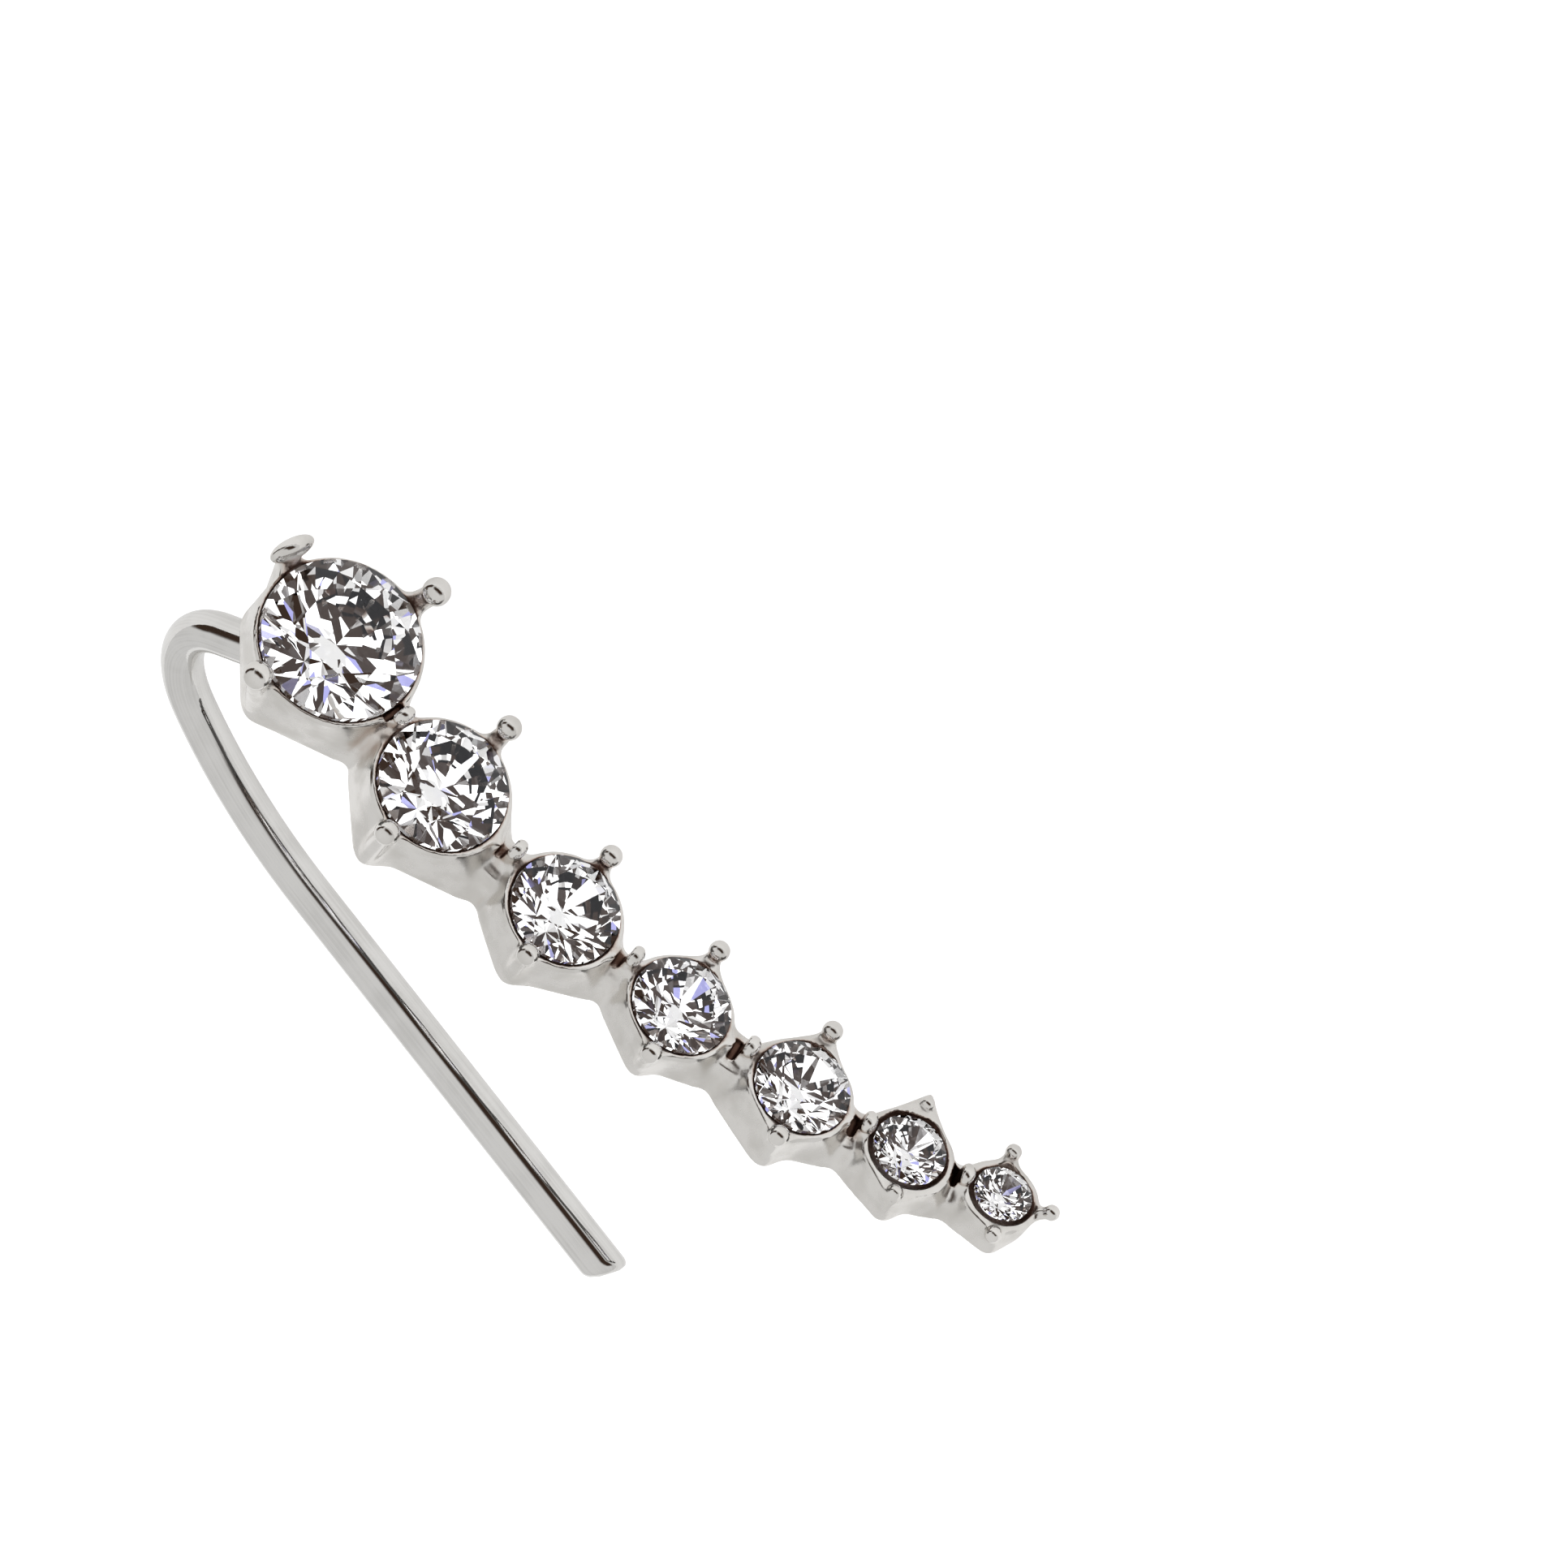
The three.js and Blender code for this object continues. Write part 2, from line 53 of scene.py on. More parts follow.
# One output of a shader or geometry tree, on which maths is written as Python.
class Signal:
    def __init__(self, tree, socket=None):
        self.tree = tree
        self.socket = socket

    # Any node: its type, the settings it needs first, then values or links for its
    # sockets, and the output that is wanted.
    def node(self, kind, settings=None, inputs=None, output=0):
        made = self.tree.nodes.new(kind)
        for name, value in (settings or {}).items():
            setattr(made, name, value)
        for name, value in (inputs or {}).items():
            for item in value if isinstance(value, list) else [value]:
                if isinstance(item, Signal):
                    self.tree.links.new(item.socket, made.inputs[name])
                else:
                    made.inputs[name].default_value = item
        return Signal(self.tree, made.outputs[output]) if made.outputs else None

    def math(self, operation, first, second=0.0):
        return self.node("ShaderNodeMath", {"operation": operation}, {0: first, 1: second})

    def __add__(self, other):
        return self.math("ADD", self, other)

    __radd__ = __add__

    def __mul__(self, other):
        return self.math("MULTIPLY", self, other)

    __rmul__ = __mul__

    def __sub__(self, other):
        return self.math("SUBTRACT", self, other)

    def __rsub__(self, other):
        return self.math("SUBTRACT", other, self)

    def __truediv__(self, other):
        return self.math("DIVIDE", self, other)

    def __rtruediv__(self, other):
        return self.math("DIVIDE", other, self)

    def __pow__(self, other):
        return self.math("POWER", self, other)

    def __rpow__(self, other):
        return self.math("POWER", other, self)

    # 0 at low, 1 at high, eased between them. High may be the smaller.
    def eased(self, low, high):
        inputs = {"Value": self, "From Min": low, "From Max": high}
        return self.node("ShaderNodeMapRange", {"interpolation_type": "SMOOTHSTEP"}, inputs)

    def blended(self, colourAtZero, colourAtOne):
        inputs = {0: self, 6: colourAtZero, 7: colourAtOne}
        return self.node("ShaderNodeMix", {"data_type": "RGBA"}, inputs, 2)

    def axes(self):
        parts = self.node("ShaderNodeSeparateXYZ", None, {0: self}).socket.node
        return [Signal(self.tree, parts.outputs[axis]) for axis in range(3)]

    # A geometry with one more attribute, and an attribute read back.
    def stored(self, name, value):
        vector = value.socket.type == "VECTOR"
        settings = {"data_type": "FLOAT_VECTOR" if vector else "FLOAT", "domain": "POINT"}
        inputs = {"Geometry": self, "Name": name, "Value": value}
        return self.node("GeometryNodeStoreNamedAttribute", settings, inputs)

    def named(self, name, vector):
        settings = {"data_type": "FLOAT_VECTOR" if vector else "FLOAT"}
        return self.node("GeometryNodeInputNamedAttribute", settings, {"Name": name})

    def scaled(self, factors):
        settings = {"operation": "MULTIPLY"}
        return self.node("ShaderNodeVectorMath", settings, {0: self, 1: factors})


def grey(level):
    return (level, level, level, 1.0)


def paintedTree(tree, outputKind, paint):
    tree.nodes.clear()
    canvas = Signal(tree)
    canvas.node(outputKind, None, {"Surface": paint(canvas)})


def newMaterial(name, paint):
    material = bpy.data.materials.new(name)
    material.use_nodes = True
    paintedTree(material.node_tree, "ShaderNodeOutputMaterial", paint)
    return material


# A Geometry Nodes tree with named sizes. grow takes the inputs by name and returns
# the shape, which is then realized and given its material.
def newTree(name, sizes, grow):
    tree = bpy.data.node_groups.new(name, "GeometryNodeTree")
    sockets = [("Shape", "Geometry"), *((size, "Float") for size in sizes), ("Metal", "Material")]
    for socket, kind in sockets:
        tree.interface.new_socket(socket, in_out="INPUT", socket_type="NodeSocket" + kind)
    tree.interface.new_socket("Shape", in_out="OUTPUT", socket_type="NodeSocketGeometry")
    entry = tree.nodes.new("NodeGroupInput")
    given = {socket.name: Signal(tree, socket) for socket in entry.outputs if socket.name}
    shape = grow(given)
    shape = shape.node("GeometryNodeRealizeInstances", None, {"Geometry": shape})
    inputs = {"Geometry": shape, "Material": given["Metal"]}
    shape = shape.node("GeometryNodeSetMaterial", None, inputs)
    shape.node("NodeGroupOutput", None, {0: shape})
    return tree


# Meshes.

# The mesh that modifiers make of this one. Each is a kind, its settings, and for
# Geometry Nodes the values of its tree's inputs.
def reshaped(mesh, steps):
    maker = bpy.data.objects.new("maker", mesh)
    scene.collection.objects.link(maker)
    for kind, settings, values in steps:
        modifier = maker.modifiers.new(kind, kind)
        for name, value in settings.items():
            setattr(modifier, name, value)
        for item in modifier.node_group.interface.items_tree if values else []:
            if item.in_out == "INPUT" and item.name in values:
                modifier[item.identifier] = values[item.name]
    graph = bpy.context.evaluated_depsgraph_get()
    made = bpy.data.meshes.new_from_object(maker.evaluated_get(graph), depsgraph=graph)
    maker.modifiers.clear()
    bpy.data.objects.remove(maker)
    return made


def grown(mesh, tree, values):
    return reshaped(mesh, [("NODES", {"node_group": tree}, values)])


def cutAway(mesh, tool):
    cutter = bpy.data.objects.new("cutter", tool)
    scene.collection.objects.link(cutter)
    settings = {"operation": "DIFFERENCE", "solver": "MANIFOLD", "object": cutter}
    made = reshaped(mesh, [("BOOLEAN", settings, None)])
    bpy.data.objects.remove(cutter)
    return made


def meshOf(shape, name):
    bmesh.ops.recalc_face_normals(shape, faces=shape.faces)
    mesh = bpy.data.meshes.new(name)
    shape.to_mesh(mesh)
    shape.free()
    return mesh


def meshesTogether(meshes, name):
    shape = bmesh.new()
    for mesh in meshes:
        shape.from_mesh(mesh)
    mesh = bpy.data.meshes.new(name)
    shape.to_mesh(mesh)
    shape.free()
    return mesh


# Joins outlines with the same number of points into a closed tower.
def addTower(shape, outlines, matrix):
    rings = [[shape.verts.new(matrix @ point) for point in outline] for outline in outlines]
    count = len(rings[0])
    for lower, upper in zip(rings, rings[1:]):
        for k in range(count):
            shape.faces.new([lower[k], lower[(k + 1) % count], upper[(k + 1) % count], upper[k]])
    shape.faces.new(list(reversed(rings[0])))
    shape.faces.new(rings[-1])


def circle(radius, height, count):
    steps = [2 * math.pi * k / count for k in range(count)]
    return [Vector((radius * math.cos(a), radius * math.sin(a), height)) for a in steps]


# Sizes that follow a stone are a base and a share of its radius.
def sized(size, radius):
    return size[0] + size[1] * radius


# Seats, read from the stones.

# Brilliant cut, as shares of a stone's radius.
stoneCut = {"table": 0.57, "crown": 0.32, "girdle": 0.06, "pavilion": 0.86}
backDepth = (0.055, 0.975)              # from girdle to back
flatWithin = 0.002                      # how far a corner of the table may lie below it
# One entry a setting. corner is how far its side columns reach at the back, column
# is their radius, and dip sets the walls ahead of them further in; apex is how far
# the rim is drawn out at the same places. web is half the width of the metal where
# it joins the next setting, and meet is how far past the stone that is. tip and
# ball change the reach and size of the prongs' ends, and play is the stone's extra
# room.
castSettings = [
    {"corner": 2.36, "column": 0.46, "dip": 0.06, "apex": 0.02, "web": 0.94, "meet": 0.40,
     "tip": 0.00, "ball": 0.00, "play": 0.00},
    {"corner": 2.33, "column": 0.36, "dip": 0.36, "apex": 0.06, "web": 0.93, "meet": 0.93,
     "tip": 0.00, "ball": 0.00, "play": 0.00},
    {"corner": 1.94, "column": 0.38, "dip": 0.16, "apex": 0.08, "web": 0.71, "meet": 0.65,
     "tip": -0.10, "ball": 0.00, "play": 0.02},
    {"corner": 1.70, "column": 0.34, "dip": 0.28, "apex": 0.28, "web": 0.90, "meet": 0.43,
     "tip": 0.00, "ball": 0.00, "play": 0.00},
    {"corner": 1.87, "column": 0.42, "dip": 0.38, "apex": 0.40, "web": 0.93, "meet": 0.46,
     "tip": 0.00, "ball": 0.00, "play": 0.00},
    {"corner": 1.63, "column": 0.40, "dip": 0.36, "apex": 0.48, "web": 0.92, "meet": 0.52,
     "tip": 0.00, "ball": -0.04, "play": 0.12},
    {"corner": 1.28, "column": 0.54, "dip": 0.00, "apex": 0.14, "web": 0.50, "meet": 0.10,
     "tip": 0.09, "ball": 0.00, "play": 0.13},
]
rowStart = {"web": 0.80, "meet": 0.04, "innerShare": 0.15}  # the first setting's free end


# The flat top of a stone: its middle, its normal and its corners, in millimetres.
def tableOf(stone):
    mesh = stone.data
    biggest = max(mesh.polygons, key=lambda face: face.area)
    normal = biggest.normal.copy()
    points = {tuple(round(c / metresPerMm, 4) for c in vertex.co) for vertex in mesh.vertices}
    top = max(Vector(point).dot(normal) for point in points)
    corners = [Vector(point) for point in points if Vector(point).dot(normal) > top - flatWithin]
    middle = sum(corners, Vector()) / len(corners)
    return middle, normal, corners


# Each seat's radius, depth and frame: x along the row, z out of the stone's face;
# and from that x, the headings of the lines to the next seat and from the last.
def seatsFromStones():
    tables = [tableOf(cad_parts[name]) for name in stoneNames]
    seats = []
    for index, (middle, normal, corners) in enumerate(tables):
        here = min(index, len(tables) - 2)
        line = tables[here + 1][0] - tables[here][0]
        corner = max(corners, key=lambda point: (point - middle).dot(line))
        x = (corner - middle).normalized()
        y = normal.cross(x)
        radius = (corner - middle).length / stoneCut["table"]
        drop = (stoneCut["crown"] + stoneCut["girdle"] / 2) * radius
        turn = Matrix((x, y, normal)).transposed().to_4x4()
        matrix = Matrix.Translation(middle - normal * drop) @ turn
        depth = sized(backDepth, radius + castSettings[index]["play"] / 2)
        seats.append({"radius": radius, "depth": depth, "matrix": matrix})
    for seat, follower in zip(seats, seats[1:]):
        step = follower["matrix"].translation - seat["matrix"].translation
        seat["gap"] = step.length - seat["radius"] - follower["radius"]
        seat["follower"] = follower
        for end, key in ((seat, "next"), (follower, "last")):
            level = end["matrix"].to_3x3().inverted() @ step
            end[key] = math.atan2(level.y, level.x)
    seats[0]["last"] = seats[0]["next"]
    seats[-1]["next"] = seats[-1]["last"]
    for seat in seats:
        seat["square"] = (seat["next"] + seat["last"]) / 2
    return seats


# A seat's frame, turned about its stone's axis.
def turned(seat, angle):
    return seat["matrix"] @ Matrix.Rotation(angle, 4, "Z")


seats = seatsFromStones()
rowLine = turned(seats[0], seats[0]["next"])    # x along the row's line
print("seats:", [round(seat["radius"], 3) for seat in seats])


# Camera.

viewSizes = {
    "lean": 26.4,                   # degrees, from the first stone's normal
    "leanTowards": -80.5,           # heading of that lean, from the row's line
    "rowSlope": -52.7,              # of the row's line across the view
    "width": 37.88,
    "aim": (10.706, -3.47),         # right and up from the first stone
    "distance": 1000.0,
    "film": 36,                     # its width
    "clip": (0.1, 5),               # metres
}


def makeCamera(sizes):
    lean = math.radians(sizes["lean"])
    towards = math.radians(sizes["leanTowards"])
    turn = rowLine.to_3x3()
    level = Vector((math.cos(towards), math.sin(towards), 0)) * math.sin(lean)
    back = turn @ (level + Vector((0, 0, math.cos(lean))))
    line = turn @ Vector((1, 0, 0))
    across = (line - back * line.dot(back)).normalized()
    right = Matrix.Rotation(-math.radians(sizes["rowSlope"]), 3, back) @ across
    up = back.cross(right)
    aim = rowLine.translation + right * sizes["aim"][0] + up * sizes["aim"][1]
    lens = bpy.data.cameras.new("camera")
    lens.sensor_width = sizes["film"]
    lens.lens = sizes["film"] * sizes["distance"] / sizes["width"]
    lens.clip_start, lens.clip_end = sizes["clip"]
    camera = bpy.data.objects.new("camera", lens)
    scene.collection.objects.link(camera)
    camera.location = (aim + back * sizes["distance"]) * metresPerMm
    camera.rotation_mode = "QUATERNION"
    camera.rotation_quaternion = Matrix((right, up, back)).transposed().to_quaternion()
    scene.camera = camera


makeCamera(viewSizes)


# Finishes.

def noiseAt(place, scale, detail):
    return place.node("ShaderNodeTexNoise", None, {"Vector": place, "Scale": scale, "Detail": detail})


# Reads what was noted on a mesh under this name.
def noted(canvas, name, output):
    return canvas.node("ShaderNodeAttribute", {"attribute_name": name}, output=output)


castFinish = {
    "bright": (0.80, 0.78, 0.75, 1),
    "cloudy": (0.70, 0.68, 0.645, 1),
    "cloudyFrom": (0.35, 0.70),     # of the cloud noise
    # painted shade: a warm brown laid over the metal where the shelter attribute finds it shut in
    "warmShade": (0.56, 0.44, 0.37, 1),
    "warmShadeFrom": (0.13, 0.36),      # shelter
    "warmShadeRagged": 0.2,             # how much noise frays its edge
    "warmShadeShare": 0.7,
    # painted shade, partly tarnish: a dark brown laid into the deepest hollows, where shelter is high
    "shadeAndTarnish": (0.13, 0.072, 0.052, 1),
    "shadeAndTarnishFrom": (0.27, 0.48),
    "shadeAndTarnishRagged": 0.25,
    # painted reflection: the row is drawn dark in glossy bounces from further off
    "inWire": 0.14,                 # its brightness as the ear wire mirrors it
    "inWireFrom": (0.0010, 0.0018),             # metres from the wire
    "roughness": (0.22, 0.36),      # bright, cloudy
    "grainRoughness": 0.08,
    "tarnishRoughness": 0.2,
    "edgeRoughness": 0.10,
    "edgeFrom": (0.15, 0.55),
    "grainPerMetre": 16000,
    "cloudPerMetre": 1300,
    "grainHeight": 0.6,             # the rest is cloud
    "bump": {"Strength": 0.22, "Distance": 0.000012},
}


def paintCastSilver(canvas):
    finish = castFinish
    place = canvas.node("ShaderNodeTexCoord", output="Object")
    shelter = noted(canvas, "shelter", "Fac")
    edge = noted(canvas, "edge", "Fac")
    grain = noiseAt(place, finish["grainPerMetre"], 4.0)
    cloud = noiseAt(place, finish["cloudPerMetre"], 3.0)
    clouded = cloud.eased(*finish["cloudyFrom"])
    # Painted shade with some tarnish: the most shut-in places are drawn dark brown.
    recess = (shelter + (grain - 0.5) * finish["shadeAndTarnishRagged"]).eased(*finish["shadeAndTarnishFrom"])
    metal = clouded.blended(finish["bright"], finish["cloudy"])
    # Painted reflection: seen in a glossy bounce from more than about a millimetre away, as from the
    # ear wire, the metal is drawn nearly black, which lays a dark stripe along the wire.
    glossy = canvas.node("ShaderNodeLightPath", output="Is Glossy Ray")
    away = canvas.node("ShaderNodeLightPath", output="Ray Length").eased(*finish["inWireFrom"])
    inWire = (*[c * finish["inWire"] for c in finish["bright"][:3]], 1)
    dimmed = (glossy * away).blended(metal, inWire)
    # Painted shade: sheltered places are warmed towards brown.
    warmShaded = (shelter + (cloud - 0.5) * finish["warmShadeRagged"]).eased(*finish["warmShadeFrom"])
    warmed = (warmShaded * finish["warmShadeShare"]).blended(dimmed, finish["warmShade"])
    colour = recess.blended(warmed, finish["shadeAndTarnish"])
    smooth, dull = finish["roughness"]
    satin = clouded * (dull - smooth) + smooth + (grain - 0.5) * finish["grainRoughness"]
    worn = edge.eased(*finish["edgeFrom"])
    roughness = satin + worn * (finish["edgeRoughness"] - satin) + recess * finish["tarnishRoughness"]
    height = grain * finish["grainHeight"] + cloud * (1 - finish["grainHeight"])
    bump = canvas.node("ShaderNodeBump", None, {**finish["bump"], "Height": height})
    inputs = {"Base Color": colour, "Metallic": 1.0, "Roughness": roughness, "Normal": bump}
    return canvas.node("ShaderNodeBsdfPrincipled", None, inputs)


wireFinish = {
    "bright": (0.76, 0.75, 0.73, 1),
    "drawn": (0.67, 0.66, 0.64, 1),
    "drawnFrom": (0.15, 0.40),      # of the marks and clouds together
    # painted shade, partly tarnish: dark brown where the wire is shut in by the row
    "shadeAndTarnish": (0.18, 0.12, 0.09, 1),
    "shadeAndTarnishFrom": (0.5, 0.95),     # shelter
    "roughness": (0.05, 0.12),
    "roughFrom": (0.3, 0.7),        # of the cloud noise
    "marksPerMm": 9,
    "markStretch": (0.02, 1.0, 1.0),            # drawn out along the wire
    "cloudPerMetre": 900,
    "bump": {"Strength": 0.12, "Distance": 0.000008},
}


def paintDrawnWire(canvas):
    finish = wireFinish
    place = canvas.node("ShaderNodeTexCoord", output="Object")
    unrolled = noted(canvas, "unrolled", "Vector")
    marks = noiseAt(unrolled.scaled(finish["markStretch"]), finish["marksPerMm"], 5.0)
    cloud = noiseAt(place, finish["cloudPerMetre"], 3.0)
    # Painted shade with some tarnish in the wire's sheltered places.
    recess = noted(canvas, "shelter", "Fac").eased(*finish["shadeAndTarnishFrom"])
    metal = (marks * cloud).eased(*finish["drawnFrom"]).blended(finish["bright"], finish["drawn"])
    colour = recess.blended(metal, finish["shadeAndTarnish"])
    smooth, dull = finish["roughness"]
    roughness = marks * cloud.eased(*finish["roughFrom"]) * (dull - smooth) + smooth
    bump = canvas.node("ShaderNodeBump", None, {**finish["bump"], "Height": marks})
    inputs = {"Base Color": colour, "Metallic": 1.0, "Roughness": roughness, "Normal": bump}
    return canvas.node("ShaderNodeBsdfPrincipled", None, inputs)


crystalFinish = {
    "clear": (1.0, 1.0, 1.0, 1),
    "hazy": (0.95, 0.95, 1.0, 1),
    "hazyFrom": (0.45, 0.75),
    "hazePerMetre": 2500,
    "smearRoughness": 0.01,
    "smearFrom": (0.6, 0.9),
    "index": 2.15,                  # of refraction
    "gloss": (0.35, 0.35, 0.37, 1),
}


def paintCrystal(canvas):
    finish = crystalFinish
    place = canvas.node("ShaderNodeTexCoord", output="Object")
    haze = noiseAt(place, finish["hazePerMetre"], 4.0)
    inputs = {
        "Base Color": haze.eased(*finish["hazyFrom"]).blended(finish["clear"], finish["hazy"]),
        "Roughness": haze.eased(*finish["smearFrom"]) * finish["smearRoughness"],
        "IOR": finish["index"],
        "Specular Tint": finish["gloss"],
        "Transmission Weight": 1.0,
    }
    return canvas.node("ShaderNodeBsdfPrincipled", None, inputs)


castSilver = newMaterial("cast_silver", paintCastSilver)
drawnWire = newMaterial("drawn_wire", paintDrawnWire)
crystal = newMaterial("crystal", paintCrystal)
print("finishes: cast silver, drawn wire, crystal")


# Cast row of settings.

basketSizes = {
    "rimReach": (0.15, 1),
    "rimBelowGirdle": 0.06,
    "apexRise": 0.85,               # of the rim's inner corner, as a share of apex
    "innerShare": 0.90,             # of a web's half width, inside the row's curve
    "bore": (-0.10, 0.88),
    "borePoints": 72,
    "boreThrough": 1,               # how far it is cut on behind the back
    "clearance": 0.02,              # round the stone
    "points": 144,
    "easing": 3,                    # points over which an outline's corners are rounded
}
webSizes = {"topShare": 0.66, "belowNextGirdle": 0.30}
prongSizes = {
    "ball": (0.12, 0.12),
    "tip": (0.28, 1.12),            # from the stone's axis
    "height": (-0.14, 0.365),       # of the ball's middle above the girdle
    "neckShare": 0.70,              # of the ball's radius
    "clawDrop": 0.20,               # of the prongs on the outside of the curve
    "footShare": 0.75,              # of the column's radius
    "footRise": 0.10,
    "neckSides": 20,
    "ballSubdivisions": 4,
    "lastTurn": -5.0,               # of the prong that ends the row
    "lastOut": 0.06,
    "lastFoot": (0.90, -0.55),      # out and up, as shares of the stone's radius
}
bladeSizes = {"place": (-2.45, -0.20), "height": 0.50, "half": (0.26, 0.62, 0.46), "neck": 0.28}
ridgeSizes = {
    "place": (0.62, 0.62, 0.62, 0.64, 0.66, 0.66),          # in the gap
    "height": (0.30, 0.30, 0.34, 0.24, 0.05, 0.00),
    "half": (0.21, 0.30, 0.26),
}
slotSizes = {
    "width": 0.20,
    "half": 0.30,
    "depth": 0.65,                  # below the ridge's middle
    "ridgeShare": 0.7,              # of the ridge's half width, left standing
    "top": 2,
}
barSizes = {"width": 1.4, "thickness": 0.46, "proud": 0.34, "lap": 0.7}
castingSizes = {
    "grid": 0.05,
    "fineGrid": 0.036,
    "fillet": 0.18,                 # that molten metal leaves in a corner
    "swollenSmoothing": 4,          # rounds
    "shrunkSmoothing": 2,
    "lastSmoothing": 3,
    "triangles": 180000,
}


def spot(angle, along, across=0.0):
    return Matrix.Rotation(angle, 2) @ Vector((along, across))


# The walls of a basket's back, as pairs of points: square ends where the webs
# leave, and walls from those that touch the side columns, or pass inside them.
def backWalls(seat, cast, last, lastReach):
    nextReach = seat["radius"] + cast["meet"]
    radius = cast["column"]
    walls = []
    for side in (-1, 1):
        column = spot(seat["square"], 0, side * (cast["corner"] - radius))
        ends = []
        for web, turn, along in ((cast, "next", nextReach), (last, "last", -lastReach)):
            share = web.get("innerShare", basketSizes["innerShare"]) if side > 0 else 1
            ends.append(spot(seat[turn], along, side * share * web["web"]))
        for end, inset, turn in ((ends[0], cast["dip"], -side), (ends[1], 0, side)):
            away = end - column
            bearing = math.atan2(away.y, away.x) - turn * math.acos((radius - inset) / away.length)
            walls.append((end, column + spot(bearing, radius - inset)))
    walls += [(walls[0][0], walls[2][0]), (walls[1][0], walls[3][0])]
    return walls


# How far these walls reach from the middle, or a column if it stands out of them.
def reachOf(walls, columns, radius, angle):
    out = spot(angle, 1)
    reach = math.inf
    for a, b in walls:
        across = Vector((b.y - a.y, a.x - b.x))
        slope = across.dot(out) / across.dot(a)
        if slope > 0:
            reach = min(reach, 1 / slope)
    for column in columns:
        near = out.dot(column)
        inside = near * near - column.length_squared + radius * radius
        if near > 0 and inside > 0:
            reach = max(reach, near + math.sqrt(inside))
    return reach


# The outlines of a basket's back and of its rim, which is round but for its side
# corners, and rises at the one inside the row's curve.
def basketOutlines(seat, cast, last, lastReach):
    sizes = basketSizes
    rim = sized(sizes["rimReach"], seat["radius"]) + cast["play"]
    spread = math.acos(rim / (rim + cast["apex"]))
    walls = backWalls(seat, cast, last, lastReach)
    along = cast["corner"] - cast["column"]
    columns = [spot(seat["square"], 0, side * along) for side in (-1, 1)]
    count = sizes["points"]
    angles = [2 * math.pi * k / count for k in range(count)]
    reaches = [reachOf(walls, columns, cast["column"], angle) for angle in angles]
    span = range(-sizes["easing"], sizes["easing"] + 1)
    back = []
    top = []
    for k, angle in enumerate(angles):
        eased = sum(reaches[(k + step) % count] for step in span) / len(span)
        back.append(Vector((*spot(angle, eased), -seat["depth"])))
        fromSide = abs(math.asin(abs(math.sin(angle))) - math.pi / 2)
        reach = rim / math.cos(max(0, spread - fromSide))
        rise = max(0, sizes["apexRise"] * math.sin(angle)) * (reach - rim)
        top.append(Vector((*spot(angle, reach), rise - sizes["rimBelowGirdle"])))
    return [back, top]


# Each edge becomes a tapered neck, and each point with a ball size gets a ball.
def growProngs(given):
    shape = given["Shape"]
    neck = shape.named("neck", False)
    ball = shape.named("ball", True)
    path = shape.node("GeometryNodeMeshToCurve", None, {"Mesh": shape})
    inputs = {"Resolution": prongSizes["neckSides"], "Radius": 1.0}
    ring = shape.node("GeometryNodeCurvePrimitiveCircle", None, inputs)
    inputs = {"Curve": path, "Profile Curve": ring, "Scale": neck, "Fill Caps": True}
    necks = shape.node("GeometryNodeCurveToMesh", None, inputs)
    inputs = {"Radius": 1.0, "Subdivisions": prongSizes["ballSubdivisions"]}
    bead = shape.node("GeometryNodeMeshIcoSphere", None, inputs)
    inputs = {"Points": shape, "Selection": ball.axes()[0], "Instance": bead, "Scale": ball}
    balls = shape.node("GeometryNodeInstanceOnPoints", None, inputs)
    return shape.node("GeometryNodeJoinGeometry", None, {"Geometry": [necks, balls]})


prongTree = newTree("prongs", [], growProngs)


def basketMesh(seat, cast, last, lastReach):
    shape = bmesh.new()
    addTower(shape, basketOutlines(seat, cast, last, lastReach), seat["matrix"])
    return meshOf(shape, "basket")


# Each prong of a setting: where it starts and ends, its neck's radius at both and
# the half sizes of the ball at its tip.
def prongsOf(seat, index):
    radius = seat["radius"]
    cast = castSettings[index]
    ball = sized(prongSizes["ball"], radius) + cast["ball"]
    height = sized(prongSizes["height"], radius)
    tip = sized(prongSizes["tip"], radius) + cast["tip"]
    low = prongSizes["footRise"] - seat["depth"]
    necks = (cast["column"] * prongSizes["footShare"], ball * prongSizes["neckShare"])
    size = Vector((ball, ball, ball))
    prongs = []
    for side, drop in ((1, 0), (-1, prongSizes["clawDrop"])):
        foot = spot(seat["square"], 0, side * (cast["corner"] - cast["column"]))
        upper = Vector((0, side * tip, height - drop))
        prongs.append((Vector((*foot, low)), upper, necks, size))
    if index == 0:
        x, y = bladeSizes["place"]
        lower = Vector((-radius, 0, low))
        upper = Vector((x, y, bladeSizes["height"]))
        prongs.append((lower, upper, (bladeSizes["neck"],) * 2, Vector(bladeSizes["half"])))
    if "follower" in seat:
        place = radius + ridgeSizes["place"][index] * seat["gap"]
        half = Vector(ridgeSizes["half"])
        x, y = spot(seat["next"], place)
        upper = Vector((x, y, ridgeSizes["height"][index]))
        prongs.append((Vector((x, y, low)), upper, (half.x, half.x), half))
    else:
        turn = math.radians(prongSizes["lastTurn"])
        out, up = prongSizes["lastFoot"]
        lower = Vector((*spot(turn, radius * out), radius * up))
        upper = Vector((*spot(turn, tip + prongSizes["lastOut"]), height))
        prongs.append((lower, upper, (ball, necks[1]), size))
    return prongs


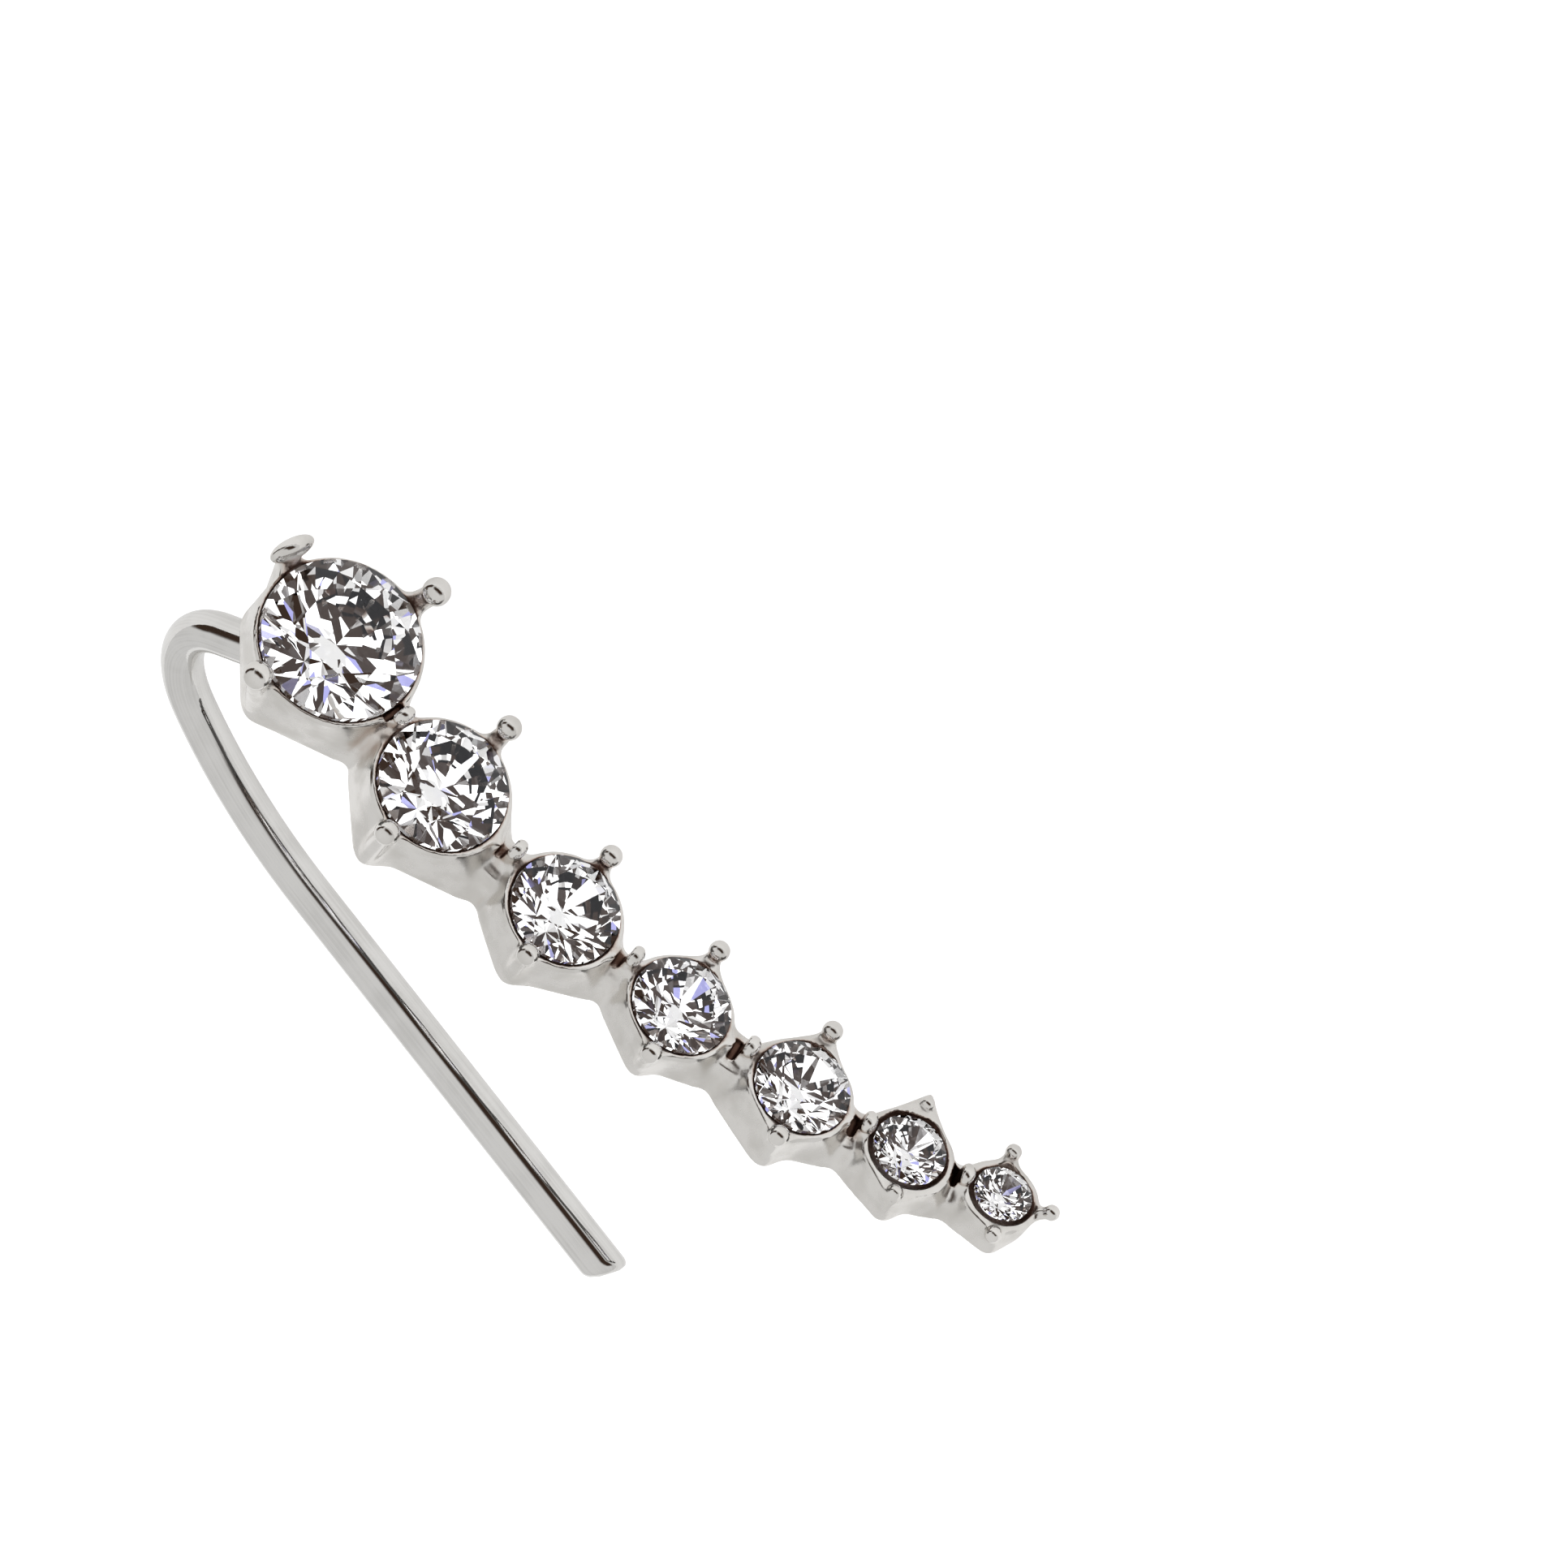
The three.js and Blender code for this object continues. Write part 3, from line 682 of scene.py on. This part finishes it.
def prongMesh(seat, index, withBalls):
    prongs = prongsOf(seat, index)
    mesh = bpy.data.meshes.new("prong_lines")
    points = [point for lower, upper, _, _ in prongs for point in (lower, upper)]
    mesh.from_pydata(points, [(2 * k, 2 * k + 1) for k in range(len(prongs))], [])
    neck = mesh.attributes.new("neck", "FLOAT", "POINT")
    ball = mesh.attributes.new("ball", "FLOAT_VECTOR", "POINT")
    for k, (_, _, necks, half) in enumerate(prongs):
        neck.data[2 * k].value, neck.data[2 * k + 1].value = necks
        if withBalls:
            ball.data[2 * k + 1].vector = half
    made = grown(mesh, prongTree, {"Metal": castSilver})
    made.transform(seat["matrix"])
    return made


def webMesh(seat, cast):
    back = -seat["depth"]
    top = back + seat["follower"]["depth"] - webSizes["belowNextGirdle"]
    start = seat["radius"] / 2
    end = seat["radius"] + seat["gap"] + seat["follower"]["radius"] / 2
    outer = -cast["web"]
    inner = cast["web"] * basketSizes["innerShare"]
    share = webSizes["topShare"]
    outline = [(outer, back), (inner, back), (inner * share, top), (outer * share, top)]
    shape = bmesh.new()
    rings = [[Vector((x, y, z)) for y, z in outline] for x in (start, end)]
    addTower(shape, rings, turned(seat, seat["next"]))
    return meshOf(shape, "web")


def blockMesh(low, high, matrix):
    corners = [(low[0], low[1]), (high[0], low[1]), (high[0], high[1]), (low[0], high[1])]
    rings = [[Vector((x, y, z)) for x, y in corners] for z in (low[2], high[2])]
    shape = bmesh.new()
    addTower(shape, rings, matrix)
    return meshOf(shape, "block")


def barMesh(seat):
    half = sized(basketSizes["bore"], seat["radius"]) + barSizes["lap"] / 2
    low = -seat["depth"] - barSizes["proud"]
    side = barSizes["width"] / 2
    high = (half, side, low + barSizes["thickness"])
    return blockMesh((-half, -side, low), high, seat["matrix"])


# The stone's room, opening into the bore behind it.
def hollowMesh(seat, cast):
    radius = seat["radius"]
    bore = sized(basketSizes["bore"], radius)
    room = basketSizes["clearance"] + cast["play"]
    reach = radius + room
    rim = stoneCut["girdle"] / 2 * radius + basketSizes["clearance"]
    slope = stoneCut["pavilion"] * radius / reach
    profile = [
        (bore, -seat["depth"] - basketSizes["boreThrough"]),
        (bore, -rim - slope * (reach - bore)),
        (reach, -rim),
        (reach, rim),
        (stoneCut["table"] * radius + room, rim + stoneCut["crown"] * radius),
    ]
    shape = bmesh.new()
    count = basketSizes["borePoints"]
    addTower(shape, [circle(r, z, count) for r, z in profile], seat["matrix"])
    return meshOf(shape, "hollow")


# The slot between a stone's rim and the ridge after it.
def slotMesh(seat, index):
    place = seat["radius"] + ridgeSizes["place"][index] * seat["gap"]
    end = place - slotSizes["ridgeShare"] * ridgeSizes["half"][0]
    floor = ridgeSizes["height"][index] - slotSizes["depth"]
    low = (end - slotSizes["width"], -slotSizes["half"], floor)
    high = (end, slotSizes["half"], slotSizes["top"])
    return blockMesh(low, high, turned(seat, seat["next"]))


def remeshed(grid):
    return ("REMESH", {"mode": "VOXEL", "voxel_size": grid, "use_smooth_shade": True}, None)


def swollen(distance):
    return ("DISPLACE", {"strength": distance, "mid_level": 0.0}, None)


def smoothed(rounds):
    return ("SMOOTH", {"factor": 0.5, "iterations": rounds}, None)


# The rough row is swollen and shrunk again, which fills its inner corners. Then the
# prongs' balls are joined on, and the stones' rooms and the slots are cut.
def castRowMesh():
    sizes = castingSizes
    rough = [barMesh(seats[0])]
    last = rowStart
    lastReach = seats[0]["radius"] + rowStart["meet"]
    for index, (seat, cast) in enumerate(zip(seats, castSettings)):
        rough.append(basketMesh(seat, cast, last, lastReach))
        rough.append(prongMesh(seat, index, False))
        if "follower" in seat:
            rough.append(webMesh(seat, cast))
            last = cast
            lastReach = seat["follower"]["radius"] + seat["gap"] - cast["meet"]
    mesh = meshesTogether(rough, "cast_row")
    grid = remeshed(sizes["grid"])
    step = sizes["fillet"] / 2
    outward = [grid, swollen(step)] * 2
    mesh = reshaped(mesh, [*outward, grid, smoothed(sizes["swollenSmoothing"])])
    print("swollen row:", len(mesh.polygons), "faces")
    mesh = reshaped(mesh, [swollen(-step), grid, smoothed(sizes["shrunkSmoothing"])] * 2)
    balls = [prongMesh(seat, index, True) for index, seat in enumerate(seats)]
    mesh = meshesTogether([mesh, *balls], "cast_row")
    mesh = reshaped(mesh, [remeshed(sizes["fineGrid"])])
    print("joined row:", len(mesh.polygons), "faces")
    rooms = [hollowMesh(seat, cast) for seat, cast in zip(seats, castSettings)]
    mesh = cutAway(mesh, meshesTogether(rooms, "rooms"))
    slots = [slotMesh(seat, index) for index, seat in enumerate(seats) if "follower" in seat]
    mesh = cutAway(mesh, meshesTogether(slots, "slots"))
    mesh = reshaped(mesh, [remeshed(sizes["fineGrid"]), smoothed(sizes["lastSmoothing"])])
    share = sizes["triangles"] / (2 * len(mesh.polygons))
    mesh = reshaped(mesh, [("DECIMATE", {"ratio": min(1, share)}, None)])
    print("cast row:", len(mesh.polygons), "faces")
    return mesh


# Ear wire.

wireSizes = {
    "diameter": 1.06,
    "planeTurn": 2,
    "startOut": -0.12,
    "startBelow": 0.24,             # behind the first setting
    "startHeading": -39,            # 0 runs straight back from the row, 90 along it
    "runs": [(3.31, 0), (4.31, 97), (5.60, 30), (11.78, 0)],   # length, turn
    "step": 0.2,
    "finer": 3,                     # sweep steps in each of these
    "sides": 40,
    "tipRound": 0.28,
    "tipSlope": 0.38,               # of its slanting end
    "tipSide": (0.90, 0.44),        # across and up the row, where it runs furthest
    "slantLength": 1.6,
}


def wirePath(sizes):
    out = sizes["startOut"]
    height = -seats[0]["depth"] - sizes["startBelow"]
    heading = math.radians(sizes["startHeading"])
    turn = math.radians(sizes["planeTurn"])
    path = [Vector((out * math.cos(turn), out * math.sin(turn), height))]
    for length, bend in sizes["runs"]:
        count = math.ceil(length / sizes["step"])
        for _ in range(count):
            heading += math.radians(bend) / count / 2
            out += length / count * math.sin(heading)
            height -= length / count * math.cos(heading)
            heading += math.radians(bend) / count / 2
            path.append(Vector((out * math.cos(turn), out * math.sin(turn), height)))
    return path


# Sweeps a round section along the path, drawn in to a blunt tip, and notes how far
# along the wire and where round it each point lies.
def growWire(given):
    shape = given["Shape"]
    path = shape.node("GeometryNodeMeshToCurve", None, {"Mesh": shape})
    settings = {"mode": "LENGTH"}
    path = shape.node("GeometryNodeResampleCurve", settings, {"Curve": path, "Length": given["Step"]})
    total = shape.node("GeometryNodeSplineLength")
    along = shape.node("GeometryNodeSplineParameter", output="Length")
    left = (total - along) / given["Tip Round"]
    short = 1.0 - left.math("MINIMUM", left, 1.0)
    inset = 1.0 - (1.0 - short * short) ** 0.5
    reach = given["Diameter"] * 0.5 - inset * given["Tip Round"]
    inputs = {"Resolution": wireSizes["sides"], "Radius": 1.0}
    ring = shape.node("GeometryNodeCurvePrimitiveCircle", None, inputs)
    path = path.stored("along", along)
    ring = ring.stored("section", shape.node("GeometryNodeInputPosition"))
    inputs = {"Curve": path, "Profile Curve": ring, "Scale": reach, "Fill Caps": True}
    wire = shape.node("GeometryNodeCurveToMesh", None, inputs)
    across, up, _ = shape.named("section", True).axes()
    inputs = {0: shape.named("along", False), 1: across, 2: up}
    wire = wire.stored("unrolled", shape.node("ShaderNodeCombineXYZ", None, inputs))
    return shape.node("GeometryNodeSetShadeSmooth", None, {"Geometry": wire})


wireTree = newTree("ear_wire", ["Diameter", "Step", "Tip Round"], growWire)


# Draws one side of the tip out, so that it ends on a slant.
def slantTip(mesh, path, sizes):
    heading = (path[-1] - path[-2]).normalized()
    side = rowLine.to_3x3() @ Vector((0, *sizes["tipSide"]))
    for vertex in mesh.vertices:
        past = vertex.co - path[-1]
        near = 1 + past.dot(heading) / sizes["slantLength"]
        if near > 0:
            vertex.co += heading * near * past.dot(side) * sizes["tipSlope"]


def earWireMesh(sizes):
    path = [rowLine @ point for point in wirePath(sizes)]
    mesh = bpy.data.meshes.new("wire_line")
    mesh.from_pydata(path, [(k, k + 1) for k in range(len(path) - 1)], [])
    values = {
        "Diameter": sizes["diameter"],
        "Step": sizes["step"] / sizes["finer"],
        "Tip Round": sizes["tipRound"],
        "Metal": drawnWire,
    }
    mesh = grown(mesh, wireTree, values)
    slantTip(mesh, path, sizes)
    print("ear wire:", len(mesh.polygons), "faces")
    return mesh


# Shelter and edges.

shelterSizes = {
    "reach": 0.9,
    "lift": 0.012,                  # of a ray's start off the surface
    "rays": 14,
    "farShare": 0.5,                # what a hit at full reach counts
    "edgeScale": 0.04,
    "evening": 2,                   # rounds
}


# Directions spread over the half of space in front of a surface.
def fanOfRays(count):
    fan = []
    for k in range(count):
        slope = math.sqrt((k + 0.5) / count)
        turn = k * math.pi * (3 - math.sqrt(5))
        rise = math.sqrt(1 - slope * slope)
        fan.append(Vector((slope * math.cos(turn), slope * math.sin(turn), rise)))
    return fan


# Evens a number per vertex out over the neighbours.
def evened(mesh, values, rounds):
    pairs = [tuple(edge.vertices) for edge in mesh.edges]
    for _ in range(rounds):
        total = list(values)
        count = [1] * len(values)
        for a, b in pairs:
            total[a] += values[b]
            total[b] += values[a]
            count[a] += 1
            count[b] += 1
        values = [t / c for t, c in zip(total, count)]
    return values


# How shut in each vertex is, from 0 in the open to 1, and how much of an edge it
# stands on, so that a finish can paint shade, with some tarnish, into hollows and brighten what gets
# rubbed.
def noteShelter(mesh, neighbours, sizes):
    tree = BVHTree.FromPolygons(*neighbours)
    fan = fanOfRays(sizes["rays"])
    shelter = []
    for vertex in mesh.vertices:
        turn = Vector((0, 0, 1)).rotation_difference(vertex.normal).to_matrix()
        start = vertex.co + vertex.normal * sizes["lift"]
        hits = 0
        for ray in fan:
            distance = tree.ray_cast(start, turn @ ray, sizes["reach"])[3]
            if distance is not None:
                hits += 1 - (1 - sizes["farShare"]) * distance / sizes["reach"]
        shelter.append(hits / len(fan))
    bend = [0.0] * len(mesh.vertices)
    for edge in mesh.edges:
        a, b = [mesh.vertices[k] for k in edge.vertices]
        along = b.co - a.co
        bulge = (b.normal - a.normal).dot(along) / max(along.length_squared, 1e-9)
        bend[a.index] += bulge
        bend[b.index] += bulge
    bend = [value * sizes["edgeScale"] for value in bend]
    for name, values in (("shelter", shelter), ("edge", bend)):
        attribute = mesh.attributes.new(name, "FLOAT", "POINT")
        attribute.data.foreach_set("value", evened(mesh, values, sizes["evening"]))


def trianglesOf(meshes):
    points = []
    faces = []
    for mesh in meshes:
        start = len(points)
        points += [vertex.co.copy() for vertex in mesh.vertices]
        faces += [[start + k for k in face.vertices] for face in mesh.polygons]
    return points, faces


# Pieces.

def finishPiece(mesh, name, material):
    mesh.transform(Matrix.Scale(metresPerMm, 4))
    mesh.materials.clear()
    mesh.materials.append(material)
    for face in mesh.polygons:
        face.use_smooth = True
    piece = bpy.data.objects.new(name, mesh)
    scene.collection.objects.link(piece)
    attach(piece, "root")
    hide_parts(metalNode)


rowMesh = castRowMesh()
wireMesh = earWireMesh(wireSizes)
stoneMeshes = []
for name in stoneNames:
    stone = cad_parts[name]
    copy = stone.data.copy()
    copy.transform(Matrix.Scale(1 / metresPerMm, 4))
    stoneMeshes.append(copy)
surroundings = trianglesOf([rowMesh, wireMesh, *stoneMeshes])
noteShelter(rowMesh, surroundings, shelterSizes)
noteShelter(wireMesh, surroundings, shelterSizes)
print("shelter noted")
finishPiece(rowMesh, "setting_row", castSilver)
finishPiece(wireMesh, "ear_wire", drawnWire)

for name in stoneNames:
    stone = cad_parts[name]
    stone.data.materials.clear()
    stone.data.materials.append(crystal)


# Table and light.

tableSizes = {
    "side": 6.0,                    # metres
    "thickness": 0.02,
    "paper": (0.78, 0.82),
    "mottlePerMetre": 40,
    "roughness": 0.9,
    "glow": 0.36,                   # of the paper on the earring
    "glowSeen": 0.9,                # as it looks itself
}


def paintTable(canvas):
    sizes = tableSizes
    place = canvas.node("ShaderNodeTexCoord", output="Object")
    mottle = noiseAt(place, sizes["mottlePerMetre"], 3.0)
    seen = canvas.node("ShaderNodeLightPath", output="Is Camera Ray")
    inputs = {
        "Base Color": mottle.blended(*[grey(level) for level in sizes["paper"]]),
        "Roughness": sizes["roughness"],
        "Emission Color": seen.blended(grey(sizes["glow"]), grey(sizes["glowSeen"])),
        "Emission Strength": 1.0,
    }
    return canvas.node("ShaderNodeBsdfPrincipled", None, inputs)


def makeTable(sizes):
    half = sizes["side"] / 2
    low = (-half, -half, -sizes["thickness"])
    table = bpy.data.objects.new("table", blockMesh(low, (half, half, 0), Matrix.Identity(4)))
    table.data.materials.append(newMaterial("pale_table", paintTable))
    scene.collection.objects.link(table)


skyLight = {
    "horizon": 0.71,
    "zenith": 0.75,
    "zenithFrom": (0.0, 0.9),
    "gap": (0.045, 0.028, 0.020, 1),            # the unlit room between the lights
    "gapFrom": (0.14, 0.26),        # rise of its lower and upper edges
    "gapTo": (0.52, 0.70),
    "gapSpread": (0.55, 0.78),      # how far it reaches round
    "side": (0.74, 0.84),           # a lower, second one to the side
    "sideFrom": (-0.05, 0.0),
    "sideTo": (0.26, 0.38),
    "sparkleScale": 10.0,           # lamps that only the stones pick up
    "sparkleEdge": (0.47, 0.54),
    "sparkle": 1.8,
    "lilac": (0.50, 0.50, 0.95, 1),
    "lilacScale": 9.0,
    "lilacEdge": (0.66, 0.68),
}


def paintSky(canvas):
    sky = skyLight
    towards = canvas.node("ShaderNodeTexCoord", output="Generated")
    x, y, z = towards.axes()
    dome = z.eased(*sky["zenithFrom"]).blended(grey(sky["horizon"]), grey(sky["zenith"]))
    band = z.eased(*sky["gapFrom"]) * (1.0 - z.eased(*sky["gapTo"])) * y.eased(*sky["gapSpread"])
    side = z.eased(*sky["sideFrom"]) * (1.0 - z.eased(*sky["sideTo"])) * (0.0 - x).eased(*sky["side"])
    room = band.math("MAXIMUM", band, side).blended(dome, sky["gap"])
    lamps = noiseAt(towards, sky["sparkleScale"], 1.0).eased(*sky["sparkleEdge"])
    coloured = noiseAt(towards, sky["lilacScale"], 0.0).eased(*sky["lilacEdge"])
    tint = coloured.blended(grey(sky["sparkle"]), sky["lilac"])
    glints = lamps.blended(sky["gap"], tint)
    inStone = canvas.node("ShaderNodeLightPath", output="Is Transmission Ray")
    return canvas.node("ShaderNodeBackground", None, {"Color": inStone.blended(room, glints)})


makeTable(tableSizes)
scene.world = bpy.data.worlds.new("studio")
scene.world.use_nodes = True
paintedTree(scene.world.node_tree, "ShaderNodeOutputWorld", paintSky)
scene.view_settings.view_transform = "Standard"
print("table and sky made")
